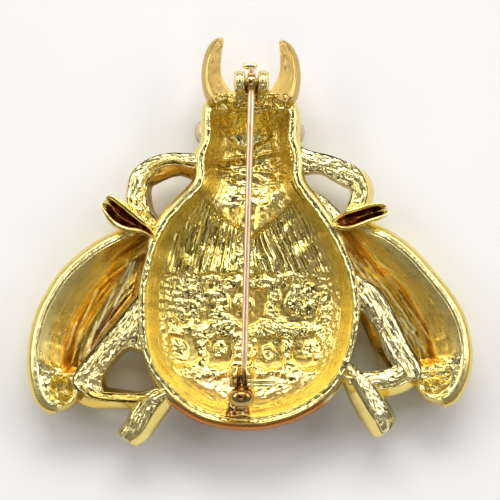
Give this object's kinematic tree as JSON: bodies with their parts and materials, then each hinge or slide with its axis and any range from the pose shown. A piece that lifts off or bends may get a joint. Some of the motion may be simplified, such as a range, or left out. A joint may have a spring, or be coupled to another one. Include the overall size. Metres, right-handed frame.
{
  "type": "insect brooch",
  "caption": "Hollow cast metal insect brooch with spread wings, curved horns and legs, lying on its front, with a hinged pin across its back and a turning lever catch",
  "frame": {"origin": "middle of the footprint's box, on the surface that the brooch lies on", "axes": "+Y to the head, +Z out of the back where the pin is, +X to the right when the head is up and the back is seen"},
  "size_m": [0.0492, 0.045, 0.0098],
  "materials": {
    "gold_cast": "gold-plated casting, bright on the rims and grainy inside",
    "gold_fitting": "polished gold plate",
    "rose_wire": "polished rose gold wire",
    "eye_stone": "polished peach cabochon",
    "clear_stone": "clear cut stone"
  },
  "bodies": {
    "brooch": {"casting": "gold_cast", "eye_left": "eye_stone", "eye_right": "eye_stone", "stone_1": "clear_stone", "stone_2": "clear_stone", "stone_3": "clear_stone", "stone_4": "clear_stone", "stone_5": "clear_stone", "stone_6": "clear_stone", "stone_7": "clear_stone", "hinge_bracket": "gold_fitting", "hinge_rivet": "rose_wire", "catch_housing": "gold_fitting"},
    "pin": {"pin_stem": "rose_wire"},
    "catch_lever": {"catch_rotor": "gold_fitting"}
  },
  "joints": [
    {"name": "pin_swing", "type": "hinge", "parent": "brooch", "child": "pin", "pos_m": [0.00017, 0.01745, 0.00835], "axis": [-1, 0, 0], "range_deg": [0, 65]},
    {"name": "catch_turn", "type": "hinge", "parent": "brooch", "child": "catch_lever", "pos_m": [-0.00092, -0.0155, 0.00835], "axis": [0, -1, 0], "range_deg": [0, 120]}
  ]
}
